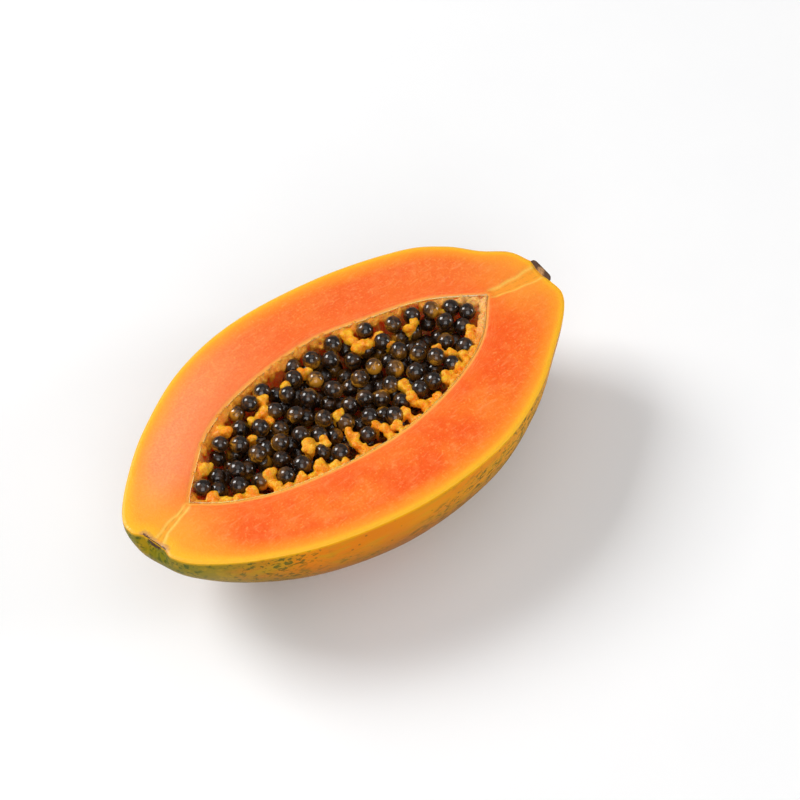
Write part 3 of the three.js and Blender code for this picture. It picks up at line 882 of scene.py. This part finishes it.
def stem_wood_material(settings):
    s = Shader("papaya_scar_wood")
    place = s.coordinates.outputs["Object"]
    grains = s.noise(place, 1200, 4, 0.65)
    rings = s.noise(s.scaled(place, (2.5, 1, 1)), 520, 3, 0.6)
    colour = s.mix(s.ramp(grains, 0.35, 0.7), linear(*SHADES["wood_deep"]), linear(*SHADES["wood_bright"]))
    # Darker bark round the outside of the cut stub.
    bark = s.plus(s.distance(place, settings.stem_scar), s.swing(rings, 0.0012))
    colour = s.lay(colour, ("bark", bark, 0.0012, 0.0024, 0, 0.92), ("wood_ring", rings, 0.52, 0.74, 0, 0.5))
    normal = s.bump(grains, 0.0006, 0.9)
    return s.finish(Base_Color=colour, Roughness=s.ramp(grains, 0.3, 0.7, 0.6, 0.85), Normal=normal)


def pulp_material(settings):
    s = Shader("papaya_pulp")
    place = s.coordinates.outputs["Object"]
    grain = s.group(grain_tree(), Vector=place, Scale=1300.0, Mealiness=0.6)
    colour = s.mix(s.ramp(grain["Cloud"], 0.36, 0.64), settings.pulp_deep, settings.pulp_bright)
    x, _, z = s.split(place)
    stem = s.times(s.ramp(x, 0.046, 0.062), s.value("fringe"))
    colour = s.lay(
        colour,
        ("fringe", s.times(s.value("fringe"), 0.8)),
        ("stem_fibre", s.times(stem, 0.7)),
        ("pulp_grain", grain["Grain"], 0.5, 0.72, 0, 0.4),
        # Painted shade: a darker orange lower down in the cavity.
        ("pulp_painted_shade", z, 0.042, 0.037, 0, 0.55),
    )
    normal = s.bump(grain["Grain"], 0.0005, 0.8)
    roughness = s.ramp(grain["Grain"], 0.3, 0.7, 0.28, 0.5)
    s.finish(Subsurface_Weight=0.5, Subsurface_Scale=0.004, Subsurface_Radius=(1.0, 0.45, 0.1))
    return s.finish(Base_Color=colour, Roughness=roughness, Normal=normal, Specular_IOR_Level=0.3)


def seed_material(settings):
    s = Shader("papaya_seed")
    place = s.coordinates.outputs["Object"]
    marbling = s.noise(place, 400, 3, 0.6, 0.9)
    wrinkles = s.noise(place, 1300, 2, 0.5)
    colour = s.lay(settings.seed_black, ("seed_brown", marbling, 0.42, 0.7))
    # The gel turns olive brown towards one side of each seed, and all over a few.
    olive = s.plus(s.times(s.value("gel_side"), 0.46), s.times(s.value("olive"), 0.5))
    olive = s.plus(olive, s.swing(marbling, 1.5))
    spread = (settings.seed_olive, olive, -0.14, 0.26, 0, 0.95)
    colour = s.lay(colour, spread, ("amber_gel", olive, 0.27, 0.58, 0, 0.95))
    normal = s.bump(wrinkles, 0.00012, 0.35)
    s.finish(Coat_Weight=1.0, Coat_Roughness=0.04, Specular_IOR_Level=0.2)
    return s.finish(Base_Color=colour, Roughness=s.ramp(marbling, 0.35, 0.7, 0.2, 0.4), Normal=normal)


# ---------------------------------------------------------------- geometry nodes


class NodeTree(Nodes):
    """A geometry node tree with named inputs."""

    def __init__(self, name):
        super().__init__(bpy.data.node_groups.new(name, "GeometryNodeTree"))
        for side in ("INPUT", "OUTPUT"):
            self.tree.interface.new_socket("Geometry", in_out=side, socket_type="NodeSocketGeometry")
        self.entry = self.node("NodeGroupInput")
        self.ids = {}

    def input(self, name, kind, default):
        socket = self.tree.interface.new_socket(name, in_out="INPUT", socket_type=kind)
        socket.default_value = default
        self.ids[name] = socket.identifier
        return self.entry.outputs[name]

    def attribute(self, name, kind):
        node = self.node("GeometryNodeInputNamedAttribute", {"Name": name}, data_type=kind)
        return next(o for o in node.outputs if o.enabled and o.name == "Attribute")

    def end(self, geometry):
        self.node("NodeGroupOutput", {"Geometry": geometry})


def evaluated(obj):
    """The mesh of an object as its modifiers leave it."""
    graph = bpy.context.evaluated_depsgraph_get()
    graph.update()
    return bpy.data.meshes.new_from_object(obj.evaluated_get(graph))


def applied(obj, name):
    """The evaluated object as a plain mesh under a new name; the first object is removed."""
    data = evaluated(obj)
    bpy.data.objects.remove(obj)
    data.name = name
    return linked(name, data)


def seeds_tree(material):
    t = NodeTree("seed_pile_nodes")
    radius = t.input("Seed Radius", "NodeSocketFloat", SEED_RADIUS * MM)
    dent = t.input("Unevenness", "NodeSocketFloat", SEED_UNEVENNESS)
    corners = {"Size": (2, 2, 2), "Vertices X": 5, "Vertices Y": 5, "Vertices Z": 5}
    cube = t.node("GeometryNodeMeshCube", corners)
    at = t.node("GeometryNodeInputPosition").outputs[0]
    unit = t.node("ShaderNodeVectorMath", {0: at}, operation="NORMALIZE").outputs[0]
    ball = t.node("ShaderNodeVectorMath", {0: unit, "Scale": radius}, operation="SCALE").outputs[0]
    seed = t.node("GeometryNodeSetPosition", {"Geometry": cube.outputs["Mesh"], "Position": ball})
    axes = t.node("ShaderNodeSeparateXYZ", {0: unit})
    gel_side = {"Geometry": seed.outputs[0], "Name": "gel_side", "Value": axes.outputs[2]}
    seed = t.node("GeometryNodeStoreNamedAttribute", gel_side, data_type="FLOAT", domain="POINT")
    placed = t.node("GeometryNodeInstanceOnPoints", {
        "Points": t.entry.outputs["Geometry"],
        "Instance": seed.outputs[0],
        "Rotation": t.attribute("turn", "FLOAT_VECTOR"),
        "Scale": t.attribute("size", "FLOAT_VECTOR"),
    })
    real = t.node("GeometryNodeRealizeInstances", {"Geometry": placed.outputs[0]})
    bumps = t.node("ShaderNodeTexNoise", {"Scale": 190.0, "Detail": 1.0})
    about_half = {0: bumps.outputs["Color"], 1: (0.5, 0.5, 0.5)}
    centred = t.node("ShaderNodeVectorMath", about_half, operation="SUBTRACT")
    offset = t.node("ShaderNodeVectorMath", {0: centred.outputs[0], "Scale": dent}, operation="SCALE")
    uneven = t.node("GeometryNodeSetPosition", {"Geometry": real.outputs[0], "Offset": offset.outputs[0]})
    smooth = t.node("GeometryNodeSetShadeSmooth", {"Geometry": uneven.outputs[0]})
    finish = t.node("GeometryNodeSetMaterial", {"Geometry": smooth.outputs[0], "Material": material})
    t.end(finish.outputs[0])
    return t


def lumps_tree(material):
    t = NodeTree("pulp_nodes")
    detail = t.input("Lump Faces", "NodeSocketInt", LUMP_FACES)
    lump = t.node("GeometryNodeMeshIcoSphere", {"Radius": 1.0, "Subdivisions": detail})
    placed = t.node("GeometryNodeInstanceOnPoints", {
        "Points": t.entry.outputs["Geometry"],
        "Instance": lump.outputs["Mesh"],
        "Scale": t.attribute("size", "FLOAT_VECTOR"),
    })
    real = t.node("GeometryNodeRealizeInstances", {"Geometry": placed.outputs[0]})
    finish = t.node("GeometryNodeSetMaterial", {"Geometry": real.outputs[0], "Material": material})
    t.end(finish.outputs[0])
    return t


def points_object(name, places, columns):
    """Loose points with a vector or a number for each."""
    data = bpy.data.meshes.new(name)
    data.from_pydata(np.asarray(places).tolist(), [], [])
    for key, column in columns.items():
        column = np.asarray(column, np.float32)
        kind = ("FLOAT_VECTOR", "vector") if column.ndim == 2 else ("FLOAT", "value")
        layer = data.attributes.new(key, kind[0], "POINT")
        layer.data.foreach_set(kind[1], column.ravel())
    return linked(name, data)


def grow(obj, tree, inputs, name):
    """Runs a node tree over an object and keeps the result as a plain mesh."""
    modifier = obj.modifiers.new(tree.tree.name, "NODES")
    modifier.node_group = tree.tree
    for key, value in inputs.items():
        modifier[tree.ids[key]] = value
    return applied(obj, name)


def one_tuft(draw, tuft, small_lumps):
    """Lumps along a tuft's stalk, in its head, and strewn over both."""
    head, root, radius = tuft["head"], tuft["root"], tuft["radius"]
    for i in range(STALK_LUMPS):
        k = i / (STALK_LUMPS - 1)
        thick = radius * ((0.85 - 0.2 * k) if tuft["wall"] else (0.55 + 0.2 * k))
        yield root + (head - root) * k + draw.around(0.25 * radius), thick, TUFT
    for _ in range(small_lumps):
        yield head + draw.around(0.62 * radius) * (1, 1, 0.6), radius * draw.span(*HEAD_RADIUS), TUFT
    for _ in range(small_lumps // 2):
        place = root + (head - root) * draw.span(*STREWN) + draw.around(0.6 * radius)
        yield place, draw.span(*SMALL_RADIUS), TUFT


def webs(draw, tufts):
    """Sagging webs between tufts that stand close together."""
    for i, a in enumerate(tufts):
        for b in tufts[:i]:
            apart = np.linalg.norm(a["head"] - b["head"])
            if apart > WEB_REACH or draw() < WEB_SKIPPED:
                continue
            for k in np.linspace(0.15, 0.85, int(apart / WEB_STEP)):
                sag = WEB_SAG * math.sin(math.pi * k)
                place = a["head"] + (b["head"] - a["head"]) * k + draw.around(0.45) - (0, 0, sag)
                yield place, draw.span(*WEB_RADIUS), TUFT


def near_fringe(draw, near):
    """A ragged granular fringe along the near rim."""
    count = int(near.length / FRINGE_STEP)
    for i in range(count):
        share = (i + draw()) / count
        rim, along = near.at(share), near.tangent(share)
        inward = np.array([-along[1], along[0]])
        ragged = abs(math.sin(share * near.length / 2.7 + 1.3 * math.sin(share * 23))) ** 0.8
        place = rim + inward * (FRINGE_WIDTH * (0.1 + ragged) * draw() - 0.5)
        yield np.array([*place, -draw.span(*FRINGE_DEPTH)]), draw.span(*FRINGE_RADIUS), FRINGE


def far_slope(draw, far):
    """Granular pulp from the far rim down to the seeds, with gaps where hollows show."""
    count = int(far.length / SLOPE_STEP)
    for i in range(count):
        share, out = (i + draw()) / count, draw()
        rim, along = far.at(share), far.tangent(share)
        ragged = noise.noise(Vector((share * far.length / 3.4, 0.7, 4.2)))
        if ragged < SLOPE_GAP:
            continue
        out *= 1.6 + 2.4 * ragged
        place = rim + np.array([along[1], -along[0]]) * (out - 0.2)
        place = np.array([*place, -1.25 - 0.75 * out]) + draw.around(0.3)
        yield place, draw.span(*SLOPE_RADIUS), SLOPE


def far_ridges(draw, far):
    """Rounded ridges that run down the far wall between its hollows."""
    reach = 0
    while reach < far.length:
        rim, along = far.at(reach / far.length), far.tangent(reach / far.length)
        inward = np.array([along[1], -along[0]])
        drop, thick = draw.span(*RIDGE_DROP), draw.span(*RIDGE_RADIUS)
        for k in np.linspace(0, 1, 9):
            place = rim + inward * (0.35 + 0.9 * math.sin(2.4 * k)) + along * 0.5 * math.sin(3 * k + reach)
            place = np.array([*place, -1.5 - drop * k]) + draw.around(0.15)
            yield place, thick * (0.7 + 0.3 * math.sin(math.pi * k)), RIDGE
        reach += draw.span(*RIDGE_GAP)


def stem_fibres(draw, near, far):
    """Pale fibres packed into the stem end of the cavity."""
    for _ in range(STEM_FIBRES):
        share = 1 - 0.17 * draw() ** 1.5
        rim = near.at(share) if draw() < 0.72 else far.at(share)
        middle = (near.at(share) + far.at(share)) / 2
        out = draw.span(*FIBRE_REACH) / (np.linalg.norm(middle - rim) + 0.6)
        place = rim + (middle - rim) * min(0.95, out)
        yield np.array([*place, -draw.span(*FIBRE_DEPTH)]), draw.span(*FIBRE_RADIUS), FIBRE


def tuft_lumps(tufts, settings):
    """Each lump of the pulp: its centre, its radius, and its share of the fringe's colour."""
    draw = Draw(DRAW_START)
    near, far = Outline(CAVITY_NEAR_RIM), Outline(CAVITY_FAR_RIM)
    lumps = [lump for tuft in tufts for lump in one_tuft(draw, tuft, settings.tuft_lumps)]
    lumps.extend(webs(draw, tufts))
    lumps.extend(near_fringe(draw, near))
    lumps.extend(far_slope(draw, far))
    lumps.extend(far_ridges(draw, far))
    lumps.extend(stem_fibres(draw, near, far))
    return lumps


def carry_values(source, target, name):
    """Copies a value of the lumps to the nearest vertices of the fused pulp."""
    tree = KDTree(len(source))
    for i, (place, _, _) in enumerate(source):
        tree.insert(to_part(place), i)
    tree.balance()
    values = [source[tree.find(vertex.co)[1]][2] for vertex in target.data.vertices]
    layer = target.data.attributes.new(name, "FLOAT", "POINT")
    layer.data.foreach_set("value", np.array(values, np.float32))


def relaxed(obj, rounds):
    """Softens the creases between fused lumps."""
    smooth = obj.modifiers.new("relax", "SMOOTH")
    smooth.factor = 0.5
    smooth.iterations = rounds
    data = evaluated(obj)
    obj.modifiers.clear()
    obj.data = data


def roughened(obj, amount):
    """Moves each vertex along its normal by fine noise."""
    data = obj.data
    places = np.zeros(len(data.vertices) * 3, np.float32)
    normals = np.zeros(len(data.vertices) * 3, np.float32)
    data.vertices.foreach_get("co", places)
    data.vertex_normals.foreach_get("vector", normals)
    places, normals = places.reshape(-1, 3), normals.reshape(-1, 3)
    coarse, fine = GRAIN_SCALES
    grains = [noise.noise(Vector(p) * coarse) + 0.6 * noise.noise(Vector(p) * fine) for p in places]
    places += normals * np.array(grains, np.float32)[:, None] * amount
    data.vertices.foreach_set("co", places.ravel())
    data.update()


# ---------------------------------------------------------------- settings and operators


def count_property(name, description, default, low, high):
    return bpy.props.IntProperty(name=name, description=description, default=default, min=low, max=high)


def millimetres_property(name, description, default, low, high):
    return bpy.props.FloatProperty(
        name=name, description=f"{description}, in millimetres", default=default, min=low, max=high
    )


def length_property(name, description, default):
    return bpy.props.FloatProperty(
        name=name, description=description, default=default, min=0, subtype="DISTANCE", unit="LENGTH"
    )


def place_property(name, description, default):
    return bpy.props.FloatVectorProperty(
        name=name, description=description, default=default, subtype="TRANSLATION", unit="LENGTH"
    )


def colour_property(name, description, *shade):
    return bpy.props.FloatVectorProperty(
        name=name, description=description, default=linear(*shade), size=3, min=0, max=1, subtype="COLOR"
    )


class PapayaSettings(bpy.types.PropertyGroup):
    """Sizes and colours of the papaya half."""

    rim_steps: count_property("Rim Steps", "Cross-sections from end to end", 190, 40, 400)
    scallop_depth: millimetres_property("Scallop Depth", "Depth of the seeds' hollows in the wall", 0.8, 0, 2)
    shelf_width: millimetres_property("Shelf Width", "How far the wall leans in below the rim", 1.5, 0, 6)
    shelf_depth: millimetres_property("Shelf Depth", "Depth over which the wall leans in", 3.2, 0.5, 10)
    tuft_lumps: count_property("Tuft Lumps", "Small lumps on each tuft's head and stalk", 9, 0, 40)
    seed_radius: length_property("Seed Radius", "Radius of a seed in its gel", SEED_RADIUS * MM)
    pulp_voxel: length_property("Pulp Fineness", "Grid on which the pulp's lumps are fused", 0.00038)
    floor_size: length_property("Floor Size", "Width of the pale floor", 6.0)
    blossom_scar: place_property(
        "Blossom Scar", "Middle of the blossom scar on the cut face", (-0.0874, -0.0033, 0.046)
    )
    stem_scar: place_property(
        "Stem Scar", "Middle of the stem scar on the cut face", (0.0884, -0.0032, 0.0455)
    )
    flesh_deep: colour_property("Deep Flesh", "Reddest orange of the cut flesh", 250, 92, 14)
    flesh_bright: colour_property("Bright Flesh", "Lighter orange of the cut flesh", 255, 126, 32)
    flesh_edge: colour_property("Flesh at the Skin", "Yellow orange of the flesh near the skin", 255, 164, 34)
    skin_orange: colour_property("Ripe Skin", "Orange of the ripest skin", 222, 124, 0)
    skin_yellow: colour_property("Yellow Skin", "Yellow of the turning skin", 228, 152, 2)
    skin_green: colour_property("Green Skin", "Green of the unripe skin", 124, 124, 20)
    pulp_deep: colour_property("Deep Pulp", "Orange of the pulp tufts", 255, 138, 8)
    pulp_bright: colour_property("Bright Pulp", "Yellow of the pulp tufts", 255, 178, 28)
    seed_black: colour_property("Dark Seed", "Near black of a ripe seed", 24, 15, 10)
    seed_olive: colour_property("Olive Seed", "Olive brown of a seed's gel", 98, 62, 18)


class PAPAYA_OT_flesh(bpy.types.Operator):
    """Builds the cut flesh, the skin and the cavity wall as one closed piece"""

    bl_idname = "papaya.flesh"
    bl_label = "Build Flesh and Skin"

    def execute(self, context):
        settings = context.scene.papaya_half
        mesh, points, values, uv = build_flesh(settings)
        materials = [
            cut_flesh_material(settings), skin_material(settings),
            cavity_wall_material(), stem_wood_material(settings),
        ]
        half = mesh_object("flesh_and_skin", to_part(points), mesh.faces, mesh.kinds, materials, values, uv)
        face_outwards(half)
        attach(half, "root")
        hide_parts("papaya_half")
        return {"FINISHED"}


class PAPAYA_OT_pulp(bpy.types.Operator):
    """Grows the tufts of pulp that stand between the seeds"""

    bl_idname = "papaya.pulp"
    bl_label = "Grow Pulp Tufts"

    def execute(self, context):
        settings = context.scene.papaya_half
        lumps = tuft_lumps(placed_tufts(), settings)
        places = to_part([place for place, _, _ in lumps])
        sizes = np.repeat([[radius * MM] for _, radius, _ in lumps], 3, axis=1)
        material = pulp_material(settings)
        points = points_object("pulp_points", places, {"size": sizes})
        rough = grow(points, lumps_tree(material), {"Lump Faces": LUMP_FACES}, "pulp_rough")
        remesh = rough.modifiers.new("fuse", "REMESH")
        remesh.mode = "VOXEL"
        remesh.voxel_size = settings.pulp_voxel
        pulp = applied(rough, "pulp_tufts")
        pulp.data.materials.clear()
        pulp.data.materials.append(material)
        carry_values(lumps, pulp, "fringe")
        relaxed(pulp, PULP_RELAX_ROUNDS)
        roughened(pulp, PULP_ROUGHNESS)
        pulp.data.polygons.foreach_set("use_smooth", [True] * len(pulp.data.polygons))
        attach(pulp, "root")
        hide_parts("papaya_half")
        return {"FINISHED"}


class PAPAYA_OT_seeds(bpy.types.Operator):
    """Fills the cavity with its settled pile of seeds"""

    bl_idname = "papaya.seeds"
    bl_label = "Settle Seeds"

    def execute(self, context):
        settings = context.scene.papaya_half
        draw = Draw(DRAW_START)
        seeds, olives = all_seeds(Cavity(), draw)
        turns, sizes = [], []
        for _ in seeds:
            # The gel's olive side looks down and to the right of the camera, more or less.
            turns.append([math.radians(draw.span(*turn)) for turn in SEED_TURNS])
            size = draw.within(SEED_SIZES)
            sizes.append([size, size, size * draw.span(*SEED_HEIGHT)])
        columns = {"turn": turns, "size": sizes, "olive": olives}
        points = points_object("seed_points", to_part(seeds), columns)
        tree = seeds_tree(seed_material(settings))
        inputs = {"Seed Radius": settings.seed_radius, "Unevenness": SEED_UNEVENNESS}
        pile = grow(points, tree, inputs, "seeds")
        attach(pile, "root")
        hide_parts("seed_pile")
        return {"FINISHED"}


# Camera in the part's frame, in metres: a long lens from above the near side.
CAMERA_PLACE = (-0.3027523, -0.361116, 0.6460022)
CAMERA_TURN = math.radians(-42.11975)
CAMERA_TILT = math.radians(90 - 52)
CAMERA_LENS = 100
CAMERA_REACH = (0.01, 20)

# The lamps, which point at LAMP_TARGET: the direction that they stand in, in a frame turned
# with the camera, how far off, their width and height, and their power.
LAMPS = {
    "left_softbox": ((-0.69, 0.276, 0.654), 2.6, (1.2, 1.2), 54),
    "right_softbox": ((0.94, 0.046, 0.315), 2.6, (0.65, 1.2), 15),
    "top_softbox": ((0.1, -0.1, 1.0), 2.4, (2.2, 2.2), 9.5),
    "front_softbox": ((0.1, -0.9, 0.6), 2.4, (1.6, 1.6), 20),
}
LAMP_TARGET = (0, 0, 0.04)
# The room's light, as it falls on the fruit and as it looks.
ROOM_LIGHT, ROOM_LOOK = 0.22, 0.9


def softbox(name, direction, distance, size, power):
    """An area lamp that points at the fruit."""
    turned = Matrix.Rotation(CAMERA_TURN, 3, "Z") @ Vector(direction).normalized()
    data = bpy.data.lights.new(name, "AREA")
    data.shape = "RECTANGLE"
    data.size, data.size_y = size
    data.energy = power
    lamp = linked(name, data)
    lamp.location = Vector(LAMP_TARGET) + turned * distance
    lamp.rotation_euler = (-turned).to_track_quat("-Z", "Y").to_euler()


def light_room(scene):
    """A world that lights the fruit dimly and still looks as pale as the floor."""
    world = bpy.data.worlds.new("studio")
    scene.world = world
    world.use_nodes = True
    n = Nodes(world.node_tree)
    rays = n.node("ShaderNodeLightPath").outputs["Is Camera Ray"]
    strength = n.node("ShaderNodeMapRange", {"Value": rays, "To Min": ROOM_LIGHT, "To Max": ROOM_LOOK})
    background = n.tree.nodes["Background"].inputs
    n.put(background["Color"], (1, 1, 1))
    n.put(background["Strength"], strength.outputs["Result"])


class PAPAYA_OT_stage(bpy.types.Operator):
    """Lays the pale floor and sets the softboxes and the camera"""

    bl_idname = "papaya.stage"
    bl_label = "Set Stage"

    def execute(self, context):
        settings = context.scene.papaya_half
        half = settings.floor_size / 2
        corners = [(-half, -half, 0), (half, -half, 0), (half, half, 0), (-half, half, 0)]
        paper = Shader("floor_paper")
        grain = paper.noise(paper.coordinates.outputs["Object"], 30, 2, 0.5)
        colour = paper.mix(grain, (0.93, 0.93, 0.935), (0.95, 0.95, 0.95))
        paper.finish(Base_Color=colour, Roughness=0.9, Specular_IOR_Level=0.1)
        floor = mesh_object("floor", corners, [(0, 1, 2, 3)], materials=[paper.material])
        light_room(context.scene)
        for name, lamp in LAMPS.items():
            softbox(name, *lamp)

        data = bpy.data.cameras.new("camera")
        data.lens = CAMERA_LENS
        data.sensor_width = 36
        data.clip_start, data.clip_end = CAMERA_REACH
        camera = linked("camera", data)
        camera.location = CAMERA_PLACE
        camera.rotation_euler = (CAMERA_TILT, 0, CAMERA_TURN)
        context.scene.camera = camera
        context.scene.view_settings.view_transform = "Standard"
        return {"FINISHED"}


class PAPAYA_PT_panel(bpy.types.Panel):
    """Lists the papaya's steps and settings"""

    bl_label = "Papaya Half"
    bl_idname = "PAPAYA_PT_panel"
    bl_space_type = "VIEW_3D"
    bl_region_type = "UI"
    bl_category = "Papaya"

    def draw(self, context):
        layout = self.layout
        for operator in STEPS:
            layout.operator(operator.bl_idname)
        for name in PapayaSettings.__annotations__:
            layout.prop(context.scene.papaya_half, name)


STEPS = (PAPAYA_OT_flesh, PAPAYA_OT_pulp, PAPAYA_OT_seeds, PAPAYA_OT_stage)
CLASSES = (PapayaSettings, *STEPS, PAPAYA_PT_panel)


def register():
    for cls in CLASSES:
        bpy.utils.register_class(cls)
    bpy.types.Scene.papaya_half = bpy.props.PointerProperty(type=PapayaSettings)


def unregister():
    del bpy.types.Scene.papaya_half
    for cls in reversed(CLASSES):
        bpy.utils.unregister_class(cls)


def main():
    register()
    bpy.ops.papaya.flesh()
    bpy.ops.papaya.pulp()
    bpy.ops.papaya.seeds()
    bpy.ops.papaya.stage()


if __name__ == "__main__":
    main()
